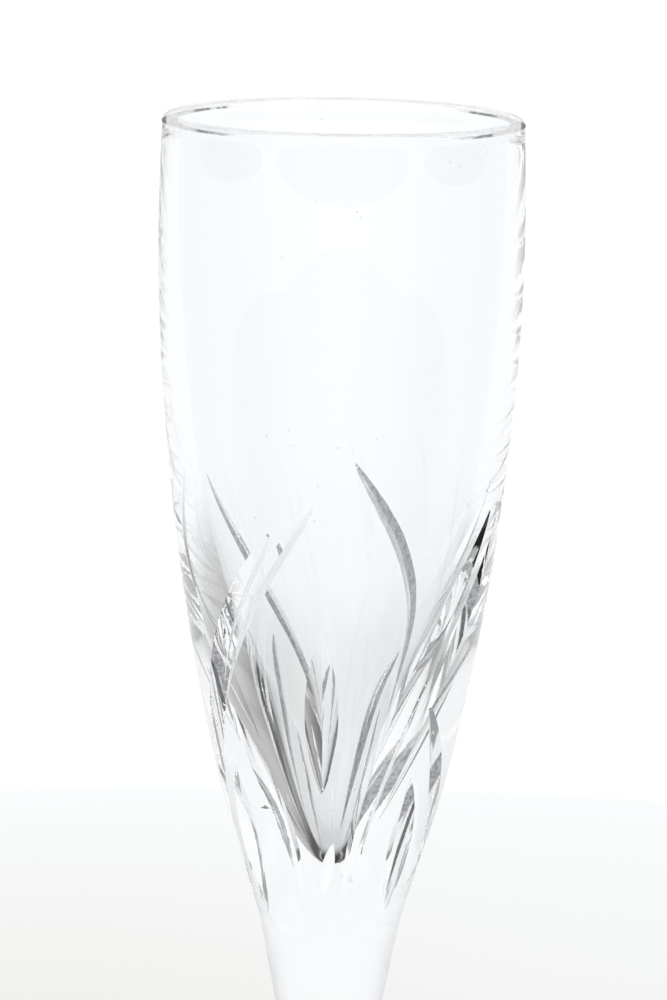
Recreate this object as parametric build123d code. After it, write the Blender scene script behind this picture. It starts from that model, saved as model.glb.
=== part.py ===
from build123d import *
from math import cos, sin, tan, radians, sqrt
import os

# Hand-cut crystal champagne flute: a thick-based bowl, a drawn stem and a round foot.
# The three gathers of glass are fused face to face. Units are mm, +Z is up, and the
# origin is at the centre of the foot's underside. The side that faces -Y is the front.

# Heights
total_height = 240.0        # table to lip
bowl_seal_z = 104.0         # fused seal between bowl and stem
foot_seal_z = 12.0          # fused seal between stem and foot

# Lip
lip_outer_radius = 26.4
lip_inner_radius = 24.2

# Stem and foot
bowl_seal_radius = 7.6
stem_waist_radius = 4.0
foot_seal_radius = 5.6
foot_seal_flare = 0.25      # how fast the glass widens downwards at the foot's seal
foot_radius = 33.0
foot_edge_thickness = 2.4
foot_dish_radius = 25.0     # the underside is hollowed inside this, so the foot rests on a ring
foot_dish_depth = 0.8

# Outside of the bowl, from the lip down to the seal: control points (radius, height)
# of one Bezier curve.
lip_round_radius = (lip_outer_radius - lip_inner_radius) / 2
lip_spring_z = total_height - lip_round_radius
bowl_outside = [
    (lip_outer_radius, lip_spring_z),
    (26.8, 221.0),
    (28.9, 200.0),
    (22.2, 160.5),
    (19.6, 131.0),
    (7.8, 120.0),
    (12.7, 127.0),
    (bowl_seal_radius, bowl_seal_z),
]

# Inside of the bowl, from the lip down to the round bottom of the cavity.
cavity_bottom_z = 130.3
bowl_inside = [
    (lip_inner_radius, lip_spring_z),
    (22.8, 235.5),
    (29.7, 174.6),
    (6.6, 137.1),
    (17.7, 185.7),
    (5.3, 134.0),
    (2.6, cavity_bottom_z),
    (0.0, cavity_bottom_z),
]

# The cuts. Each is a V-shaped groove ground along a curve on the bowl. The curve is a
# Bezier whose control points are (turn in degrees from the front towards +X, height),
# from the top tip to the bottom tip. Depth is the greatest depth, at mid-length. The
# fullness is the power that shapes the depth between the tips: 1 gives a leaf, and
# less gives a blade that stays wide for longer. The spread is the angle, in degrees,
# between the groove's middle and each flank.
leaf_spread = 61.0
blade_spread = 58.0
front_cuts = [
    # curve, depth, fullness, spread
    ([(-7.0, 187.0), (-28.0, 174.5), (-54.0, 161.0), (-79.0, 131.0)], 1.0, 0.8, blade_spread),
    ([(-21.5, 183.3), (-37.0, 172.5), (-66.0, 156.0), (-81.0, 126.0)], 1.3, 0.8, blade_spread),
    ([(-52.5, 157.0), (-42.0, 149.5), (-22.0, 139.5), (-18.0, 125.5)], 1.0, 0.9, blade_spread),
    ([(-5.0, 168.2), (-5.0, 142.5)], 1.5, 1.0, leaf_spread),
    ([(-52.3, 145.2), (-54.0, 133.0), (-55.3, 121.0)], 1.4, 1.0, leaf_spread),
    ([(1.0, 135.0), (-5.0, 126.0)], 0.6, 1.0, blade_spread),
]
side_cuts = [
    ([(80.5, 187.0), (63.0, 170.0), (34.0, 155.0), (17.0, 132.0)], 1.1, 0.8, blade_spread),
    ([(66.0, 184.5), (49.0, 171.0), (20.0, 155.0), (8.0, 126.0)], 1.3, 0.8, blade_spread),
    ([(42.0, 156.8), (57.0, 146.0), (71.0, 136.0), (75.0, 126.0)], 1.1, 0.9, blade_spread),
    ([(86.0, 168.5), (86.0, 143.0)], 1.5, 1.0, leaf_spread),
    ([(40.0, 144.6), (43.5, 133.0), (44.0, 122.3)], 1.4, 1.0, leaf_spread),
    ([(91.0, 135.0), (86.0, 126.5)], 0.6, 1.0, blade_spread),
]
# On the back each pair of long blades is one blade, and there is no leaf in the middle.
back_cuts = [
    ([(173.5, 183.5), (155.0, 172.0), (124.0, 164.0), (98.0, 136.0)], 1.0, 0.8, blade_spread),
    ([(264.0, 185.5), (240.0, 175.0), (216.0, 162.0), (188.0, 137.0)], 0.8, 0.8, blade_spread),
    ([(125.5, 153.5), (132.0, 147.5), (148.0, 142.5), (160.0, 128.0)], 1.0, 0.9, blade_spread),
    ([(224.0, 155.5), (233.0, 149.0), (246.0, 141.0), (254.0, 126.0)], 1.0, 0.9, blade_spread),
    ([(266.0, 168.5), (266.0, 143.0)], 1.5, 1.0, leaf_spread),
    ([(127.7, 145.2), (126.0, 133.0), (124.7, 121.0)], 1.4, 1.0, leaf_spread),
    ([(228.0, 144.0), (218.0, 136.0), (221.0, 122.5)], 1.4, 1.0, leaf_spread),
    ([(181.0, 135.0), (175.0, 126.0)], 0.6, 1.0, blade_spread),
    ([(271.0, 135.0), (266.0, 126.5)], 0.6, 1.0, blade_spread),
]
tool_height = 5.0           # from a groove's crease to the open side of the cutting tool
tool_overrun = 0.05         # how far a tool runs on past each tip, as a share of its length
tool_lift = 0.3             # how far it has left the glass there
tool_stations = [0.0, 0.06, 0.15, 0.3, 0.5, 0.7, 0.85, 0.94, 1.0]
slope_step = 0.01           # for slopes by differences, in mm or as a share of a curve


def revolved(outline):
    """The solid that an outline, drawn as (radius, height), sweeps about the Z axis."""
    return revolve(Plane.XZ * make_face(outline), Axis.Z)


def bezier_point(points, t):
    """The point at t, from 0 to 1, of the Bezier curve with these control points."""
    while len(points) > 1:
        points = [
            (a[0] + (b[0] - a[0]) * t, a[1] + (b[1] - a[1]) * t)
            for a, b in zip(points, points[1:])
        ]
    return points[0]


def outside_radius(height):
    """The radius of the uncut bowl at a height."""
    low, high = 0.0, 1.0
    for _ in range(40):
        middle = (low + high) / 2
        if bezier_point(bowl_outside, middle)[1] > height:
            low = middle
        else:
            high = middle
    return bezier_point(bowl_outside, low)[0]


def on_bowl(turn, height):
    """A point on the uncut bowl."""
    radius = outside_radius(height)
    return Vector(radius * sin(radians(turn)), -radius * cos(radians(turn)), height)


def out_of_bowl(turn, height):
    """The direction square to the uncut bowl, out of the glass."""
    above, below = outside_radius(height + slope_step), outside_radius(height - slope_step)
    rise = (below - above) / (2 * slope_step)
    return Vector(sin(radians(turn)), -cos(radians(turn)), rise).normalized()


def groove_section(curve, along, depth, spread):
    """The tool's triangle at one place on its curve, with its corner at this depth."""
    place = bezier_point(curve, along)
    before = on_bowl(*bezier_point(curve, along - slope_step))
    after = on_bowl(*bezier_point(curve, along + slope_step))
    forward = (after - before).normalized()
    out = out_of_bowl(*place)
    across = out.cross(forward).normalized()
    crease = on_bowl(*place) - out * depth
    half_width = across * (tool_height * tan(radians(spread)))
    open_side = crease + out * tool_height
    return Face(Wire.make_polygon([crease, open_side + half_width, open_side - half_width]))


def cut_tool(curve, depth, fullness, spread):
    """The solid that grinds one groove, drawn through its sections from tip to tip."""
    sections = [groove_section(curve, -tool_overrun, -tool_lift, spread)]
    for along in tool_stations:
        here = depth * (4 * along * (1 - along)) ** fullness
        sections.append(groove_section(curve, along, here, spread))
    sections.append(groove_section(curve, 1 + tool_overrun, -tool_lift, spread))
    return loft(sections)


def make_bowl():
    lip = ThreePointArc(
        (lip_inner_radius, lip_spring_z),
        ((lip_inner_radius + lip_outer_radius) / 2, total_height),
        (lip_outer_radius, lip_spring_z),
    )
    outline = [
        Bezier(*bowl_outside),
        Bezier(*bowl_inside),
        lip,
        Line((0, cavity_bottom_z), (0, bowl_seal_z)),
        Line((0, bowl_seal_z), (bowl_seal_radius, bowl_seal_z)),
    ]
    bowl = revolved(outline)
    for cut in front_cuts + side_cuts + back_cuts:
        bowl = bowl - cut_tool(*cut)
    return bowl


def make_stem():
    """Drawn from the bowl's base, so it leaves the seal along the bowl's own slope."""
    last_slope = (bowl_outside[-2][0] - bowl_outside[-1][0]) / (bowl_outside[-2][1] - bowl_outside[-1][1])
    leave, arrive = 12.0, 9.0
    side = Bezier(
        (bowl_seal_radius, bowl_seal_z),
        (bowl_seal_radius - last_slope * leave, bowl_seal_z - leave),
        (stem_waist_radius, 72.0),
        (stem_waist_radius, 36.0),
        (foot_seal_radius - foot_seal_flare * arrive, foot_seal_z + arrive),
        (foot_seal_radius, foot_seal_z),
    )
    outline = [
        side,
        Line((foot_seal_radius, foot_seal_z), (0, foot_seal_z)),
        Line((0, foot_seal_z), (0, bowl_seal_z)),
        Line((0, bowl_seal_z), (bowl_seal_radius, bowl_seal_z)),
    ]
    return revolved(outline)


def make_foot():
    """A low cone that flares out of the stem, with a rounded edge and a hollowed underside."""
    leave = 5.5
    edge_round = foot_edge_thickness / 2
    edge_centre = foot_radius - edge_round
    top = Bezier(
        (foot_seal_radius, foot_seal_z),
        (foot_seal_radius + foot_seal_flare * leave, foot_seal_z - leave),
        (13.0, 4.4),
        (edge_centre, foot_edge_thickness),
    )
    edge = ThreePointArc(
        (edge_centre, foot_edge_thickness),
        (foot_radius, edge_round),
        (edge_centre, 0),
    )
    sphere = (foot_dish_radius**2 + foot_dish_depth**2) / (2 * foot_dish_depth)
    halfway = foot_dish_radius / 2
    halfway_z = foot_dish_depth - sphere + sqrt(sphere**2 - halfway**2)
    dish = ThreePointArc((foot_dish_radius, 0), (halfway, halfway_z), (0, foot_dish_depth))
    outline = [
        top,
        edge,
        Line((edge_centre, 0), (foot_dish_radius, 0)),
        dish,
        Line((0, foot_dish_depth), (0, foot_seal_z)),
        Line((0, foot_seal_z), (foot_seal_radius, foot_seal_z)),
    ]
    return revolved(outline)


parts = {
    "bowl": make_bowl(),
    "stem": make_stem(),
    "foot": make_foot(),
}

os.makedirs("parts", exist_ok=True)
for name, part in parts.items():
    export_step(part, f"parts/{name}.step")
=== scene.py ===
from math import comb, cos, radians, sin, tan

import bpy
import numpy as np
from mathutils import Matrix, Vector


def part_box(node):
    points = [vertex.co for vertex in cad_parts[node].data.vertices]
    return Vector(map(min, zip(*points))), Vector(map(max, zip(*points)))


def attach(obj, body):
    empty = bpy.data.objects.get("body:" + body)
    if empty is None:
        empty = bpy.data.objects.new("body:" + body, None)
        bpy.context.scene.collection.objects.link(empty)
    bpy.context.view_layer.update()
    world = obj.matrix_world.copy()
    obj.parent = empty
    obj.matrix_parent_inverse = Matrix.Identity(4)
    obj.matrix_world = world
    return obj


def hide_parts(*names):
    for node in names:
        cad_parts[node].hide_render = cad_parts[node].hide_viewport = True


# The champagne flute as it looks: the cut bowl, the stem and the foot in clear crystal,
# on a pale table in a white room. Lengths here are mm, and go to metres in one place.

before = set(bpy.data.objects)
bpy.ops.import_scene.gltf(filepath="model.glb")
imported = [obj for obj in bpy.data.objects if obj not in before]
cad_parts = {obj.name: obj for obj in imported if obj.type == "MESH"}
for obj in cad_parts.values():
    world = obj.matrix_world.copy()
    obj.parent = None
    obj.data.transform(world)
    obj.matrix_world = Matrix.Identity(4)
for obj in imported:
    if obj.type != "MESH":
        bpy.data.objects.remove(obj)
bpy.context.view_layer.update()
MM = 0.001


def level(metres):
    """A height from the frame, in mm."""
    return round(metres / MM, 3)


# Heights and radii that the frame holds.
LIP_Z = level(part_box("bowl")[1].z)
BOWL_SEAL_Z = level(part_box("bowl")[0].z)
FOOT_SEAL_Z = level(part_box("foot")[1].z)
FOOT_RADIUS = level(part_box("foot")[1].x)

# Outlines, drawn as (radius, height) control points of Bezier curves.
LIP_ROUND = 1.1
LIP_TOLERANCE = 0.01        # a face this close to the lip's spring line belongs to the lip
BOWL_SEAL_RADIUS = 7.6
CAVITY_BOTTOM_Z = 130.3
BOWL_OUTSIDE = [
    (26.4, LIP_Z - LIP_ROUND), (26.8, 221.0), (28.9, 200.0), (22.2, 160.5),
    (19.6, 131.0), (7.8, 120.0), (12.7, 127.0), (BOWL_SEAL_RADIUS, BOWL_SEAL_Z),
]
BOWL_INSIDE = [
    (24.2, LIP_Z - LIP_ROUND), (22.8, 235.5), (29.7, 174.6), (6.6, 137.1),
    (17.7, 185.7), (5.3, 134.0), (2.6, CAVITY_BOTTOM_Z), (0.0, CAVITY_BOTTOM_Z),
]
SEAL_SLOPE = (BOWL_OUTSIDE[-2][0] - BOWL_SEAL_RADIUS) / (BOWL_OUTSIDE[-2][1] - BOWL_SEAL_Z)
STEM_WAIST = 4.0
FOOT_SEAL_RADIUS = 5.6
FOOT_SEAL_FLARE = 0.25
STEM_SIDE = [
    (BOWL_SEAL_RADIUS, BOWL_SEAL_Z), (BOWL_SEAL_RADIUS - SEAL_SLOPE * 12.0, BOWL_SEAL_Z - 12.0),
    (STEM_WAIST, 72.0), (STEM_WAIST, 36.0),
    (FOOT_SEAL_RADIUS - FOOT_SEAL_FLARE * 9.0, FOOT_SEAL_Z + 9.0), (FOOT_SEAL_RADIUS, FOOT_SEAL_Z),
]
FOOT_EDGE = 1.2
FOOT_TOP = [
    (FOOT_SEAL_RADIUS, FOOT_SEAL_Z), (FOOT_SEAL_RADIUS + FOOT_SEAL_FLARE * 5.5, FOOT_SEAL_Z - 5.5),
    (13.0, 4.4), (FOOT_RADIUS - FOOT_EDGE, 2 * FOOT_EDGE),
]
FOOT_DISH_RADIUS = 25.0
FOOT_DISH_DEPTH = 0.8

# The cuts: V grooves ground along Bezier curves of (turn in degrees, height), then the
# greatest depth, the power that shapes the depth between the tips, and the angle between
# the groove's middle and each flank.
LEAF_SPREAD = 61.0
BLADE_SPREAD = 58.0
FRONT_CUTS = [
    ([(-7.0, 187.0), (-28.0, 174.5), (-54.0, 161.0), (-79.0, 131.0)], 1.0, 0.8, BLADE_SPREAD),
    ([(-21.5, 183.3), (-37.0, 172.5), (-66.0, 156.0), (-81.0, 126.0)], 1.3, 0.8, BLADE_SPREAD),
    ([(-52.5, 157.0), (-42.0, 149.5), (-22.0, 139.5), (-18.0, 125.5)], 1.0, 0.9, BLADE_SPREAD),
    ([(-5.0, 168.2), (-5.0, 142.5)], 1.5, 1.0, LEAF_SPREAD),
    ([(-52.3, 145.2), (-54.0, 133.0), (-55.3, 121.0)], 1.4, 1.0, LEAF_SPREAD),
    ([(1.0, 135.0), (-5.0, 126.0)], 0.6, 1.0, BLADE_SPREAD),
]
SIDE_CUTS = [
    ([(80.5, 187.0), (63.0, 170.0), (34.0, 155.0), (17.0, 132.0)], 1.1, 0.8, BLADE_SPREAD),
    ([(66.0, 184.5), (49.0, 171.0), (20.0, 155.0), (8.0, 126.0)], 1.3, 0.8, BLADE_SPREAD),
    ([(42.0, 156.8), (57.0, 146.0), (71.0, 136.0), (75.0, 126.0)], 1.1, 0.9, BLADE_SPREAD),
    ([(86.0, 168.5), (86.0, 143.0)], 1.5, 1.0, LEAF_SPREAD),
    ([(40.0, 144.6), (43.5, 133.0), (44.0, 122.3)], 1.4, 1.0, LEAF_SPREAD),
    ([(91.0, 135.0), (86.0, 126.5)], 0.6, 1.0, BLADE_SPREAD),
]
BACK_CUTS = [
    ([(173.5, 183.5), (155.0, 172.0), (124.0, 164.0), (98.0, 136.0)], 1.0, 0.8, BLADE_SPREAD),
    ([(264.0, 185.5), (240.0, 175.0), (216.0, 162.0), (188.0, 137.0)], 0.8, 0.8, BLADE_SPREAD),
    ([(125.5, 153.5), (132.0, 147.5), (148.0, 142.5), (160.0, 128.0)], 1.0, 0.9, BLADE_SPREAD),
    ([(224.0, 155.5), (233.0, 149.0), (246.0, 141.0), (254.0, 126.0)], 1.0, 0.9, BLADE_SPREAD),
    ([(266.0, 168.5), (266.0, 143.0)], 1.5, 1.0, LEAF_SPREAD),
    ([(127.7, 145.2), (126.0, 133.0), (124.7, 121.0)], 1.4, 1.0, LEAF_SPREAD),
    ([(228.0, 144.0), (218.0, 136.0), (221.0, 122.5)], 1.4, 1.0, LEAF_SPREAD),
    ([(181.0, 135.0), (175.0, 126.0)], 0.6, 1.0, BLADE_SPREAD),
    ([(271.0, 135.0), (266.0, 126.5)], 0.6, 1.0, BLADE_SPREAD),
]
SHADED_BLADE_CUTS = len(FRONT_CUTS + SIDE_CUTS) + np.arange(4)    # the back's four blades are painted nearly black, as shade
TIP_OVERRUN, TIP_LIFT = 0.05, 0.3

# The order of the bowl's materials. The stem and the foot have the first two.
GLASS, SEAL, CUT, INSIDE, LIP, SHADED_BLADE = range(6)

# How finely the bowl is drawn.
TURNS = 288
CUT_ZONE = (119.0, 189.0)
ROWS_ABOVE, ROWS_IN_CUTS, ROWS_BELOW, ROWS_INSIDE, ROWS_LIP = 60, 132, 8, 96, 10


# ---------------------------------------------------------------- curves and the bowl's skin

def bezier(points, t):
    """Points of a Bezier curve at t, which may be an array."""
    points = np.asarray(points, float)
    last = len(points) - 1
    t = np.asarray(t, float)
    weights = np.array([comb(last, k) * t**k * (1 - t) ** (last - k) for k in range(last + 1)])
    return np.moveaxis(weights, 0, -1) @ points


outside_line = bezier(BOWL_OUTSIDE, np.linspace(0, 1, 6001))[::-1]


def radius_at(z):
    """The uncut bowl's outside radius."""
    return np.interp(z, outside_line[:, 1], outside_line[:, 0])


def slope_at(z):
    step = 0.05
    return (radius_at(z + step) - radius_at(z - step)) / (2 * step)


def skin(turn, z, depth=0.0):
    """A point on the bowl, turned from the front towards +X, this far below the uncut glass."""
    r = radius_at(z) - depth
    a = np.radians(turn)
    return np.stack([r * np.sin(a), -r * np.cos(a), z + 0 * r], -1)


def unit(v):
    return v / np.linalg.norm(v, axis=-1, keepdims=True)


def dot(a, b):
    return (a * b).sum(-1)


class Groove:
    """One cut, sampled closely along its curve."""

    def __init__(self, curve, depth, fullness, spread):
        t = np.linspace(-TIP_OVERRUN, 1 + TIP_OVERRUN, 900)
        place = bezier(curve, t)
        step = 1e-3
        after = skin(*bezier(curve, t + step).T)
        before = skin(*bezier(curve, t - step).T)
        self.t, self.turn, self.z = t, place[:, 0], place[:, 1]
        self.point = skin(self.turn, self.z)
        self.spacing = np.linalg.norm(np.gradient(self.point, axis=0), axis=1)
        self.forward = unit(after - before)
        a = np.radians(self.turn)
        out = unit(np.stack([np.sin(a), -np.cos(a), -slope_at(self.z)], -1))
        self.out = unit(out - self.forward * dot(out, self.forward)[:, None])
        self.across = np.cross(self.out, self.forward)
        inside = np.clip(t, 0, 1)
        self.depth = depth * (4 * inside * (1 - inside)) ** fullness
        past = np.maximum(-t, t - 1).clip(0)
        self.depth = self.depth - past / TIP_OVERRUN * TIP_LIFT
        self.cot = 1 / tan(radians(spread))
        self.crease = self.point - self.out * self.depth[:, None]
        lean = radians(spread)
        self.flank, self.normal_parts = {}, {}
        for side in (-1, 1):
            self.flank[side] = self.out * cos(lean) + self.across * (side * sin(lean))
            self.normal_parts[side] = (
                np.gradient(self.crease, t, axis=0), np.gradient(self.flank[side], t, axis=0))

    def near(self, turn, z):
        """Which of these points the groove could reach."""
        middle = (self.turn.min() + self.turn.max()) / 2
        reach = (self.turn.max() - self.turn.min()) / 2 + 25
        off = (turn - middle + 180) % 360 - 180
        return (abs(off) < reach) & (z > self.z.min() - 6) & (z < self.z.max() + 6)

    def place_of(self, q, guess=None):
        """How far along the curve each point's own section is, as a sample number with a fraction."""
        if guess is None:
            guess = np.empty(len(q))
            for at in range(0, len(q), 4000):
                part = q[at:at + 4000]
                guess[at:at + 4000] = ((part[:, None] - self.point[None, ::3]) ** 2).sum(-1).argmin(1) * 3
        s = guess.astype(float)
        for _ in range(4):
            s = s.clip(0, len(self.t) - 1.001)
            s = s + dot(q - self.pick(self.point, s), self.pick(self.forward, s)) / self.pick(self.spacing, s)
        return s.clip(0, len(self.t) - 1.001)

    def pick(self, samples, s):
        i = s.astype(int)
        f = (s - i)
        f = f[:, None] if samples.ndim > 1 else f
        return samples[i] * (1 - f) + samples[i + 1] * f

    def depths(self, turn, z):
        """How far below the uncut glass each flank lies at these points: two numbers a point."""
        q0 = skin(turn, z)
        a = np.radians(turn)
        radial = np.stack([np.sin(a), -np.cos(a), 0 * a], -1)
        s = self.place_of(q0)
        found = np.zeros((len(q0), 2))
        for i, side in enumerate((-1, 1)):
            si, sunk = s, np.zeros(len(q0))
            for _ in range(3):
                rel = q0 - self.pick(self.point, si)
                out, across = self.pick(self.out, si), self.pick(self.across, si)
                top = dot(rel, out) + self.pick(self.depth, si) - self.cot * side * dot(rel, across)
                bottom = dot(radial, out) - self.cot * side * dot(radial, across)
                sunk = np.where(bottom > 0.15, top / np.maximum(bottom, 0.15), -1.0)
                si = self.place_of(q0 - radial * sunk.clip(-1, 4)[:, None], si)
            found[:, i] = sunk
        return found

    def normals(self, q, side):
        """The flank's own normal at points on it."""
        s = self.place_of(q)
        along, turning = self.normal_parts[side]
        flank = self.pick(self.flank[side], s)
        u = dot(q - self.pick(self.crease, s), flank)
        way = self.pick(along, s) + self.pick(turning, s) * u[:, None]
        n = unit(np.cross(way, flank))
        return n * np.sign(dot(n, q * [1, 1, 0]))[:, None]


grooves = [Groove(*cut) for cut in FRONT_CUTS + SIDE_CUTS + BACK_CUTS]


def carve(turn, z):
    """How deep the cut glass lies below the uncut surface, and which face it is: 0 is uncut,
    and 2k + 1 and 2k + 2 are the flanks of groove k."""
    depth, face = np.zeros(len(turn)), np.zeros(len(turn), int)
    for k, groove in enumerate(grooves):
        near = np.flatnonzero(groove.near(turn, z))
        if not len(near):
            continue
        flanks = groove.depths(turn[near], z[near])
        side = flanks.argmin(1)
        sunk = flanks[np.arange(len(near)), side]
        deeper = sunk > depth[near]
        depth[near[deeper]] = sunk[deeper]
        face[near[deeper]] = 2 * k + 1 + side[deeper]
    return depth, face


# ---------------------------------------------------------------- meshes

def make_object(name, points, triangles, normals, slots, materials):
    """A mesh in the row frame. normals holds one normal for each corner."""
    mesh = bpy.data.meshes.new(name)
    mesh.from_pydata((points * MM).tolist(), [], triangles.tolist())
    for material in materials:
        mesh.materials.append(material)
    mesh.polygons.foreach_set("material_index", slots.astype(np.int32))
    mesh.polygons.foreach_set("use_smooth", np.ones(len(triangles), bool))
    mesh.normals_split_custom_set(normals.reshape(-1, 3).tolist())
    mesh.update()
    piece = bpy.data.objects.new(name, mesh)
    bpy.context.scene.collection.objects.link(piece)
    return piece


def ring_normals(line):
    """Outward normals, as (radial, up), of an outline walked with the glass on its right."""
    ahead = np.gradient(line, axis=0)
    return unit(np.stack([-ahead[:, 1], ahead[:, 0]], -1))


def lathe(line, normal, turns):
    """Points, triangles and corner normals of a line of (radius, height) turned about Z, with
    the glass on the line's right. A radius of 0 makes a pole."""
    a = np.radians(np.arange(turns) * 360 / turns)
    way = np.stack([np.sin(a), -np.cos(a)], -1)
    points, normals, rows = [], [], []
    count = 0
    for (r, z), (nr, nz) in zip(line, normal):
        if r < 1e-6:
            points.append([[0, 0, z]])
            normals.append([[0, 0, np.sign(nz)]])
            rows.append(np.full(turns, count))
            count += 1
        else:
            points.append(np.column_stack([way * r, np.full(turns, z)]))
            normals.append(np.column_stack([way * nr, np.full(turns, nz)]))
            rows.append(count + np.arange(turns))
            count += turns
    triangles = []
    for low, high in zip(rows[1:], rows[:-1]):
        low_next, high_next = np.roll(low, -1), np.roll(high, -1)
        if low[0] != low[1]:
            triangles.append(np.column_stack([low, low_next, high_next]))
        if high[0] != high[1]:
            triangles.append(np.column_stack([low, high_next, high]))
    return np.vstack(points), np.vstack(triangles), np.vstack(normals)


def cut_skin(rows, turns):
    """The cut outside of the bowl from the row heights, top first. Triangles that a cut's edge
    or crease crosses are split along it, so every edge is sharp."""
    turn = np.arange(turns) * 360.0 / turns
    tt, zz = np.meshgrid(turn, rows)
    turn_of, z_of = list(tt.ravel()), list(zz.ravel())
    depth, face = carve(tt.ravel(), zz.ravel())
    index = np.arange(len(turn_of)).reshape(len(rows), turns)
    high, low = index[:-1], index[1:]
    high_next, low_next = np.roll(high, -1, 1), np.roll(low, -1, 1)
    flip = ((np.add.outer(np.arange(len(rows) - 1), np.arange(turns)) % 2) == 0)[..., None]
    first = np.where(flip, np.stack([low, low_next, high_next], -1), np.stack([low, low_next, high], -1))
    second = np.where(flip, np.stack([low, high_next, high], -1), np.stack([low_next, high_next, high], -1))
    triangles = np.vstack([first.reshape(-1, 3), second.reshape(-1, 3)])

    edges = np.sort(np.vstack([triangles[:, [0, 1]], triangles[:, [1, 2]], triangles[:, [2, 0]]]), axis=1)
    edges = np.unique(edges, axis=0)
    edges = edges[face[edges[:, 0]] != face[edges[:, 1]]]
    turn_all, z_all = np.array(turn_of), np.array(z_of)
    start_turn, start_z = turn_all[edges[:, 0]], z_all[edges[:, 0]]
    way_turn = (turn_all[edges[:, 1]] - start_turn + 180) % 360 - 180
    way_z = z_all[edges[:, 1]] - start_z
    near, far = np.zeros(len(edges)), np.ones(len(edges))
    first_face = face[edges[:, 0]]
    for _ in range(9):
        middle = (near + far) / 2
        _, here = carve(start_turn + way_turn * middle, start_z + way_z * middle)
        same = here == first_face
        near, far = np.where(same, middle, near), np.where(same, far, middle)
    at = ((near + far) / 2).clip(0.02, 0.98)
    new_turn, new_z = start_turn + way_turn * at, start_z + way_z * at
    new_depth, _ = carve(new_turn, new_z)
    crossing = {(a, b): len(turn_of) + i for i, (a, b) in enumerate(edges.tolist())}
    turn_all = np.concatenate([turn_all, new_turn])
    z_all = np.concatenate([z_all, new_z])
    depth = np.concatenate([depth, new_depth])

    faces_of = face[triangles]
    whole = (faces_of == faces_of[:, :1]).all(1)
    made, made_face = [triangles[whole]], [faces_of[whole, 0]]
    extra_turn, extra_z = [], []
    split, split_face = [], []
    for corners, labels in zip(triangles[~whole].tolist(), faces_of[~whole].tolist()):
        cut_at = [crossing.get((min(a, b), max(a, b))) for a, b in
                  ((corners[0], corners[1]), (corners[1], corners[2]), (corners[2], corners[0]))]
        if None in cut_at:
            odd = [i for i in range(3) if cut_at[i - 1] is not None and cut_at[i] is not None][0]
            a, b, c = (corners[(odd + i) % 3] for i in range(3))
            ab, ca = cut_at[odd], cut_at[odd - 1]
            split += [(a, ab, ca), (ab, b, c), (ab, c, ca)]
            split_face += [labels[odd], labels[(odd + 1) % 3], labels[(odd + 1) % 3]]
        else:
            centre = len(turn_all) + len(extra_turn)
            turns_here = turn_all[cut_at]
            turns_here = turns_here[0] + ((turns_here - turns_here[0] + 180) % 360 - 180)
            extra_turn.append(turns_here.mean())
            extra_z.append(z_all[cut_at].mean())
            for i in range(3):
                split += [(corners[i], cut_at[i], centre), (corners[i], centre, cut_at[i - 1])]
                split_face += [labels[i], labels[i]]
    if extra_turn:
        extra_depth, _ = carve(np.array(extra_turn), np.array(extra_z))
        turn_all = np.concatenate([turn_all, extra_turn])
        z_all = np.concatenate([z_all, extra_z])
        depth = np.concatenate([depth, extra_depth])
    triangles = np.vstack(made + [np.array(split)])
    labels = np.concatenate(made_face + [np.array(split_face)])
    points = skin(turn_all, z_all, depth)

    a = np.radians(turn_all)
    uncut = unit(np.stack([np.sin(a), -np.cos(a), -slope_at(z_all)], -1))
    normals = uncut[triangles]
    for label in np.unique(labels[labels > 0]):
        groove, side = grooves[(label - 1) // 2], (-1, 1)[(label - 1) % 2]
        mine = np.flatnonzero(labels == label)
        used, where = np.unique(triangles[mine], return_inverse=True)
        normals[mine] = groove.normals(points[used], side)[where.reshape(-1, 3)]
    return points, triangles, normals, labels


def join(parts):
    """Several (points, triangles, corner normals, slots) as one mesh, with shared places joined."""
    points, triangles, normals, slots, start = [], [], [], [], 0
    for p, t, n, s in parts:
        points.append(p)
        triangles.append(t + start)
        normals.append(n)
        slots.append(s)
        start += len(p)
    points, triangles = np.vstack(points), np.vstack(triangles)
    _, first, same = np.unique(np.round(points, 5), axis=0, return_index=True, return_inverse=True)
    return points[first], same.ravel()[triangles], np.vstack(normals), np.concatenate(slots)


def even_steps(points, count):
    """count + 1 points spaced evenly along a Bezier curve."""
    line = bezier(points, np.linspace(0, 1, 4001))
    gone = np.concatenate([[0], np.cumsum(np.linalg.norm(np.diff(line, axis=0), axis=1))])
    at = np.linspace(0, gone[-1], count + 1)
    return np.column_stack([np.interp(at, gone, line[:, i]) for i in range(2)])


def arc(centre, radius, start, end, count):
    a = np.radians(np.linspace(start, end, count + 1))
    return np.column_stack([centre[0] + radius * np.cos(a), centre[1] + radius * np.sin(a)])


def seal(radius, z, turns, up):
    """The flat face where two pieces are fused, ready for join()."""
    line = np.array([[0.0, z], [radius, z]]) if up else np.array([[radius, z], [0.0, z]])
    points, triangles, _ = lathe(line, np.array([[0.0, 1.0 if up else -1.0]] * 2), turns)
    normals = np.zeros((len(triangles), 3, 3))
    normals[..., 2] = 1 if up else -1
    return points, triangles, normals, np.full(len(triangles), SEAL)


def turned_part(line, turns):
    """One smooth turned surface, ready for join()."""
    points, triangles, normals = lathe(line, ring_normals(line), turns)
    return points, triangles, normals[triangles], np.full(len(triangles), GLASS)


# ---------------------------------------------------------------- materials

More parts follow.
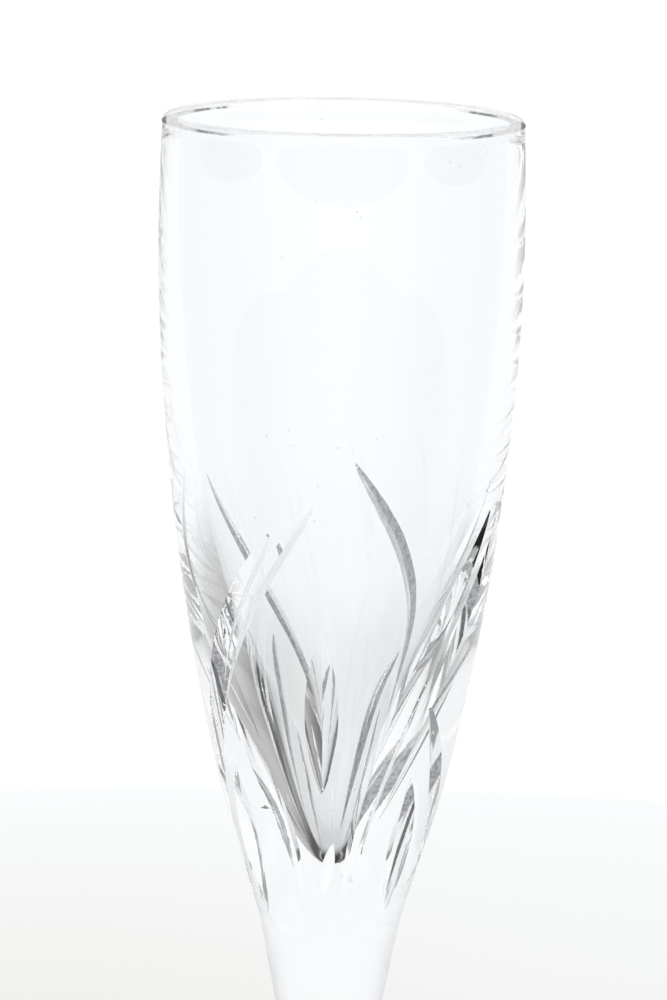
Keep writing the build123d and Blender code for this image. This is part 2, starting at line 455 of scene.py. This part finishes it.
class Nodes:
    """Adds nodes to a tree in few words. An input takes a number, a colour or a socket."""

    def __init__(self, tree):
        self.tree = tree
        tree.nodes.clear()

    def add(self, kind, *values, out=0, **settings):
        node = self.tree.nodes.new(kind)
        for name, value in settings.items():
            setattr(node, name, value)
        for socket, value in zip(node.inputs, values):
            if value is None:
                continue
            if isinstance(value, bpy.types.NodeSocket):
                self.tree.links.new(value, socket)
            else:
                socket.default_value = value
        return node.outputs[out] if node.outputs else node

    def math(self, operation, a, b=None):
        return self.add("ShaderNodeMath", a, b, operation=operation)

    def ramp(self, value, low, high, at_low, at_high, kind="SMOOTHSTEP"):
        return self.add("ShaderNodeMapRange", value, float(low), float(high), float(at_low),
                        float(at_high), interpolation_type=kind)

    def mix(self, share, a, b):
        """A colour from a to b."""
        node = self.tree.nodes.new("ShaderNodeMix")
        node.data_type = "RGBA"
        for socket, value in ((node.inputs[0], share), (node.inputs[6], a), (node.inputs[7], b)):
            if isinstance(value, bpy.types.NodeSocket):
                self.tree.links.new(value, socket)
            else:
                socket.default_value = value
        return node.outputs[2]


CRYSTAL_IOR = 1.55
CLEAR = (0.978, 0.990, 1.0, 1)      # seen square on
LILAC_ASLANT_SHADE = (0.944, 0.960, 0.976, 1)    # a faint lilac tint with painted shade, seen a little aslant
# painted shade, greyer, where the glass is seen more aslant
GREY_ASLANT_SHADE = (0.912, 0.936, 0.962, 1)
BASE_EDGE_SHADE = (0.76, 0.775, 0.80, 1)  # painted shade along the sides of the thick base and the stem, where they are seen aslant
SHADE = (0.70, 0.71, 0.73, 1)       # painted shade at the bottom of the cavity
SPECK = (0.55, 0.56, 0.58, 1)
# painted shade: the back's four blades, nearly black, with a random grain
BLADE_SHADE_DARK = (0.07, 0.072, 0.078, 1)
BLADE_SHADE_LIGHT = (0.20, 0.205, 0.215, 1)


def new_material(name):
    material = bpy.data.materials.new(name)
    material.use_nodes = True
    return material, Nodes(material.node_tree)


def finish_crystal(n, colour, height, strength, distance, roughness=0.0, alpha=1.0):
    """Clear lead crystal: a colour, a fine relief and how ground the surface is."""
    glass = n.tree.nodes.new("ShaderNodeBsdfPrincipled")
    bump = n.add("ShaderNodeBump", strength, distance, None)
    n.tree.links.new(height, bump.node.inputs["Height"])
    n.tree.links.new(bump, glass.inputs["Normal"])
    n.tree.links.new(colour, glass.inputs["Base Color"])
    fixed = {"Roughness": roughness, "IOR": CRYSTAL_IOR, "Transmission Weight": 1.0, "Alpha": alpha}
    for name, value in fixed.items():
        glass.inputs[name].default_value = value
    n.add("ShaderNodeOutputMaterial", glass.outputs[0])


def aslant_tint_and_shade(n):
    """Crystal is clear square on, with a faint lilac tint where it is seen aslant; the greyer, darker tones
    there and on the sides of the thick base and the stem are painted shade.
    """
    facing = n.add("ShaderNodeLayerWeight", 0.5, out=1)
    # painted shade: the tint turns greyer and darker the more aslant the glass is seen
    tint_and_shade = n.mix(n.ramp(facing, 0.0, 0.15, 0, 1, "LINEAR"), CLEAR, LILAC_ASLANT_SHADE)
    tint_and_shade = n.mix(n.ramp(facing, 0.3, 0.6, 0, 1, "LINEAR"), tint_and_shade, GREY_ASLANT_SHADE)
    place = n.add("ShaderNodeTexCoord", out=3)
    axes = n.tree.nodes.new("ShaderNodeSeparateXYZ")
    n.tree.links.new(place, axes.inputs[0])
    # painted shade on the base, the stem and the foot, where they are seen aslant
    low_down = n.ramp(axes.outputs[2], 0.112, 0.124, 1, 0)
    return n.mix(n.math("MULTIPLY", low_down, n.ramp(facing, 0.4, 0.75, 0, 1)), tint_and_shade, BASE_EDGE_SHADE)


def specks(n, place, scale, share):
    """1 in small scattered dots, and 0 elsewhere."""
    dots = n.add("ShaderNodeTexVoronoi", place, None, scale)
    return n.math("MULTIPLY", n.math("LESS_THAN", dots, 0.07),
                  n.math("LESS_THAN", n.add("ShaderNodeTexNoise", place, None, scale * 0.4), share))


def crystal(name):
    """The blown and drawn surfaces, with faint upright striae."""
    material, n = new_material(name)
    place = n.add("ShaderNodeTexCoord", out=3)
    upright = n.add("ShaderNodeMapping", place, None, None, (190.0, 190.0, 5.0))
    striae = n.add("ShaderNodeTexNoise", upright, None, 1.0)
    finish_crystal(n, aslant_tint_and_shade(n), striae, 0.05, 0.0002)
    return material


def crystal_inside(name):
    """The inside wall: a few specks, painted shade that grows darker towards the bottom of the cavity, and a
    ring where the tool turned.
    """
    material, n = new_material(name)
    place = n.add("ShaderNodeTexCoord", out=3)
    axes = n.tree.nodes.new("ShaderNodeSeparateXYZ")
    n.tree.links.new(place, axes.inputs[0])
    x, y, z = axes.outputs
    from_axis = n.math("SQRT", n.math("ADD", n.math("MULTIPLY", x, x), n.math("MULTIPLY", y, y)))
    ring = n.math("LESS_THAN", n.math("ABSOLUTE", n.math("SUBTRACT", from_axis, 0.0012)), 0.00022)
    # painted shade, darker towards the bottom of the cavity
    bottom = n.ramp(z, 0.1316, 0.1390, 1, 0)
    dark = n.math("MAXIMUM", n.math("MULTIPLY", bottom, 0.75), n.math("MULTIPLY", ring, 0.8))
    colour = n.mix(dark, aslant_tint_and_shade(n), SHADE)
    colour = n.mix(n.math("MULTIPLY", specks(n, place, 420.0, 0.40), 0.8), colour, SPECK)
    upright = n.add("ShaderNodeMapping", place, None, None, (230.0, 230.0, 6.0))
    striae = n.add("ShaderNodeTexNoise", upright, None, 1.0)
    finish_crystal(n, colour, striae, 0.05, 0.0002)
    return material


def crystal_cut(name):
    """A wheel-cut facet: fine grinding marks along it and pin-prick specks."""
    material, n = new_material(name)
    place = n.add("ShaderNodeTexCoord", out=3)
    along = n.add("ShaderNodeMapping", place, None, None, (900.0, 900.0, 260.0))
    grain = n.add("ShaderNodeTexNoise", along, None, 1.0)
    colour = n.mix(n.math("MULTIPLY", specks(n, place, 1300.0, 0.47), 0.7), CLEAR, SPECK)
    finish_crystal(n, colour, grain, 0.10, 0.0001, roughness=0.035)
    return material


def crystal_shaded_blade(name):
    """A cut painted nearly black as shade, with a random grain in its tone and a satin roughness."""
    material, n = new_material(name)
    place = n.add("ShaderNodeTexCoord", out=3)
    grain = n.add("ShaderNodeTexNoise", place, None, 1500.0)
    # painted shade, nearly black, with a random grain in its tone
    colour = n.mix(n.ramp(grain, 0.35, 0.65, 0, 1), BLADE_SHADE_DARK, BLADE_SHADE_LIGHT)
    finish_crystal(n, colour, grain, 0.2, 0.0001, roughness=0.12)
    return material


def crystal_lip(name):
    """The fire-polished lip. Its brightness is painted light: the glass is made partly see-through, so that
    it hardly shows.
    """
    material, n = new_material(name)
    place = n.add("ShaderNodeTexCoord", out=3)
    waves = n.add("ShaderNodeTexNoise", place, None, 60.0)
    # painted light: seven tenths of the lip is see-through, which makes it bright
    finish_crystal(n, aslant_tint_and_shade(n), waves, 0.05, 0.0002, alpha=0.3)
    return material


def fused(name):
    """The face where two pieces of glass are melted together, which nothing shows of."""
    material, n = new_material(name)
    n.add("ShaderNodeOutputMaterial", n.add("ShaderNodeBsdfTransparent"))
    return material


# ---------------------------------------------------------------- the three pieces

def make_bowl():
    lip_top = LIP_Z - LIP_ROUND
    rows = np.concatenate([
        np.linspace(lip_top, CUT_ZONE[1], ROWS_ABOVE + 1)[:-1],
        np.linspace(CUT_ZONE[1], CUT_ZONE[0], ROWS_IN_CUTS + 1)[:-1],
        np.linspace(CUT_ZONE[0], BOWL_SEAL_Z, ROWS_BELOW + 1),
    ])
    points, triangles, normals, labels = cut_skin(rows, TURNS)
    groove_of = (labels - 1) // 2
    slots = np.where(labels > 0, CUT, GLASS)
    slots[(labels > 0) & np.isin(groove_of, SHADED_BLADE_CUTS)] = SHADED_BLADE
    outer = (points, triangles, normals, slots)
    inner = even_steps(BOWL_INSIDE, ROWS_INSIDE)[::-1]
    inner[0] = (0.0, CAVITY_BOTTOM_Z)
    lip_mid = (BOWL_INSIDE[0][0] + LIP_ROUND, lip_top)
    lip = arc(lip_mid, LIP_ROUND, 180, 0, ROWS_LIP)
    whole_line = np.vstack([inner[:-1], lip])
    normal = ring_normals(whole_line)
    over = np.radians(np.linspace(180, 0, ROWS_LIP + 1))
    normal[len(inner) - 1:] = np.column_stack([np.cos(over), np.sin(over)])
    p, t, n = lathe(whole_line, normal, TURNS)
    inside = (p, t, n[t], np.where(p[t][..., 2].min(1) >= lip_top - LIP_TOLERANCE, LIP, INSIDE))
    return inside, outer, seal(BOWL_SEAL_RADIUS, BOWL_SEAL_Z, TURNS, False)


glass = crystal("crystal_glass")
melted = fused("fused_seal")
bowl_materials = [glass, melted, crystal_cut("crystal_cut"), crystal_inside("crystal_inside"),
                  crystal_lip("crystal_lip"), crystal_shaded_blade("crystal_shaded_blade")]
bowl = make_object("bowl_glass", *join(make_bowl()), bowl_materials)
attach(bowl, "root")
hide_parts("bowl")

stem_line = even_steps(STEM_SIDE, 90)
stem = make_object("stem_glass", *join([
    turned_part(stem_line, 160),
    seal(BOWL_SEAL_RADIUS, BOWL_SEAL_Z, 160, True),
    seal(FOOT_SEAL_RADIUS, FOOT_SEAL_Z, 160, False),
]), [glass, melted])
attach(stem, "root")
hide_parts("stem")

sphere = (FOOT_DISH_RADIUS**2 + FOOT_DISH_DEPTH**2) / (2 * FOOT_DISH_DEPTH)
dish_r = np.linspace(FOOT_DISH_RADIUS, 0, 20)
dish = np.column_stack([dish_r, FOOT_DISH_DEPTH - sphere + np.sqrt(sphere**2 - dish_r**2)])
edge_r = FOOT_RADIUS - FOOT_EDGE
foot = make_object("foot_glass", *join([
    turned_part(even_steps(FOOT_TOP, 70), 220),
    turned_part(arc((edge_r, FOOT_EDGE), FOOT_EDGE, 90, -90, 16), 220),
    turned_part(np.array([[edge_r, 0.0], [FOOT_DISH_RADIUS, 0.0]]), 220),
    turned_part(dish, 220),
    seal(FOOT_SEAL_RADIUS, FOOT_SEAL_Z, 220, True),
]), [glass, melted])
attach(foot, "root")
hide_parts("foot")


# ---------------------------------------------------------------- table, room and camera

# The camera sees a backdrop and a table with painted shade, darker near the glass and to the
# left and lighter towards the far edge. Rays that the glass has reflected, or that have
# been through several of its surfaces, see them dimmer, and the table near the glass dimmer
# still: this is what darkens the cuts. It belongs to the stage and not to the glass.

BACKDROP = 1.04             # the backdrop is a little brighter than white
FAR_EDGE = (0.500, 0.524)   # where the table softens into the backdrop
FAR_EDGE_IN_GLASS = (0.23, 0.44)
GUIDED_BOUNCES = 11.5       # light that has gone round inside a wall more often than this
THROUGH_A_WALL, THROUGH_THE_BOWL = 2.5, 5.5     # surfaces passed
GUIDED_LEVEL = 0.88
# painted shade on the table: darker near the glass and to the left, lighter far off
NEAR_LEFT_SHADE = (0.838, 0.830, 0.807, 1)
NEAR_RIGHT_SHADE = (0.870, 0.878, 0.870, 1)
FAR_SHADE = (0.920, 0.935, 0.945, 1)

table = bpy.data.meshes.new("table")
TABLE_HALF = 3.0
TABLE_Z = -0.0001           # just clear of the foot, so the two faces don't coincide
corners = [(x * TABLE_HALF, y * TABLE_HALF, TABLE_Z) for x, y in ((-1, -1), (1, -1), (1, 1), (-1, 1))]
table.from_pydata(corners, [], [(0, 1, 2, 3)])
table_object = bpy.data.objects.new("table", table)
bpy.context.scene.collection.objects.link(table_object)
table_material = bpy.data.materials.new("table_white")
table_material.use_nodes = True
table.materials.append(table_material)
t = Nodes(table_material.node_tree)
spot = t.add("ShaderNodeTexCoord", out=3)
split = t.tree.nodes.new("ShaderNodeSeparateXYZ")
t.tree.links.new(spot, split.inputs[0])
table_x, table_y = split.outputs[0], split.outputs[1]
x_squared, y_squared = (t.math("MULTIPLY", side, side) for side in (table_x, table_y))
away = t.math("SQRT", t.math("ADD", x_squared, y_squared))
# painted shade: the table darker near the glass and to the left, lighter towards the far edge
near_shade = t.mix(t.ramp(table_x, -0.08, 0.08, 0, 1), NEAR_LEFT_SHADE, NEAR_RIGHT_SHADE)
table_shade = t.mix(t.ramp(away, 0.30, 0.50, 0, 1, "LINEAR"), near_shade, FAR_SHADE)
path = t.tree.nodes.new("ShaderNodeLightPath")
through = t.math("GREATER_THAN", path.outputs["Transmission Depth"], THROUGH_A_WALL)
bounced = t.math("GREATER_THAN", path.outputs["Glossy Depth"], 0.5)
deep = t.math("GREATER_THAN", path.outputs["Transmission Depth"], THROUGH_THE_BOWL)
through_dim = t.ramp(away, 0.04, 0.17, 0.35, 1.05)
near_dim = t.ramp(away, 0.08, 0.18, 0.07, 1.0)
deep_dim = t.ramp(table_y, 0.0, 0.30, 0.02, 1.0)
dim = t.add("ShaderNodeMix", through, None, 1.0, through_dim)
dim = t.add("ShaderNodeMix", bounced, None, dim, t.add("ShaderNodeMix", deep, None, near_dim, deep_dim))
guided = t.math("GREATER_THAN", path.outputs["Glossy Depth"], GUIDED_BOUNCES)
dim = t.add("ShaderNodeMix", guided, None, dim, GUIDED_LEVEL)
dark = t.add("ShaderNodeVectorMath", table_shade, operation="SCALE")
t.tree.links.new(dim, dark.node.inputs["Scale"])
surface = t.add("ShaderNodeBsdfDiffuse", dark)
glow = t.add("ShaderNodeEmission", (1, 1, 1, 1), BACKDROP)
edge = t.add("ShaderNodeMix", path.outputs["Is Camera Ray"], None,
             t.ramp(away, *FAR_EDGE_IN_GLASS, 0, 1), t.ramp(away, *FAR_EDGE, 0, 1))
t.add("ShaderNodeOutputMaterial", t.add("ShaderNodeMixShader", edge, surface, glow))

world = bpy.data.worlds.new("white_room")
bpy.context.scene.world = world
world.use_nodes = True
w = Nodes(world.node_tree)
way = w.add("ShaderNodeTexCoord", out=0)
split = w.tree.nodes.new("ShaderNodeSeparateXYZ")
w.tree.links.new(way, split.inputs[0])
path = w.tree.nodes.new("ShaderNodeLightPath")
bounced = w.math("GREATER_THAN", path.outputs["Glossy Depth"], 0.5)
deep = w.math("GREATER_THAN", path.outputs["Transmission Depth"], THROUGH_THE_BOWL)
side_room = w.ramp(split.outputs[1], -0.1, 0.4, 0.35, 1.0)
deep_room = w.ramp(split.outputs[1], -0.5, 0.1, 0.03, 1.0)
room = w.add("ShaderNodeMix", deep, None, side_room, deep_room)
level_of = w.add("ShaderNodeMix", bounced, None, 1.0, room)
guided = w.math("GREATER_THAN", path.outputs["Glossy Depth"], GUIDED_BOUNCES)
level_of = w.add("ShaderNodeMix", guided, None, level_of, GUIDED_LEVEL)
brightness = w.math("MULTIPLY", level_of, BACKDROP)
w.add("ShaderNodeOutputWorld", w.add("ShaderNodeBackground", (1, 1, 1, 1), brightness))

CAMERA_PLACE = (0, -0.6, 0.303)
CAMERA_LENS = 149.15
CAMERA_TURN, CAMERA_DOWN, CAMERA_ROLL = 0.0526, 11.31, 0.99     # degrees
camera_data = bpy.data.cameras.new("camera")
camera_data.sensor_width = 36.0
camera_data.lens = CAMERA_LENS
camera_data.clip_start = 0.01
camera = bpy.data.objects.new("camera", camera_data)
bpy.context.scene.collection.objects.link(camera)
camera.matrix_world = (
    Matrix.Translation(CAMERA_PLACE)
    @ Matrix.Rotation(radians(CAMERA_TURN), 4, "Z")
    @ Matrix.Rotation(radians(90 - CAMERA_DOWN), 4, "X")
    @ Matrix.Rotation(radians(CAMERA_ROLL), 4, "Z")
)
bpy.context.scene.camera = camera

scene = bpy.context.scene
scene.view_settings.view_transform = "Standard"
scene.view_settings.look = "None"
scene.cycles.max_bounces = 48
scene.cycles.glossy_bounces = 40
scene.cycles.transmission_bounces = 48
scene.cycles.transparent_max_bounces = 32
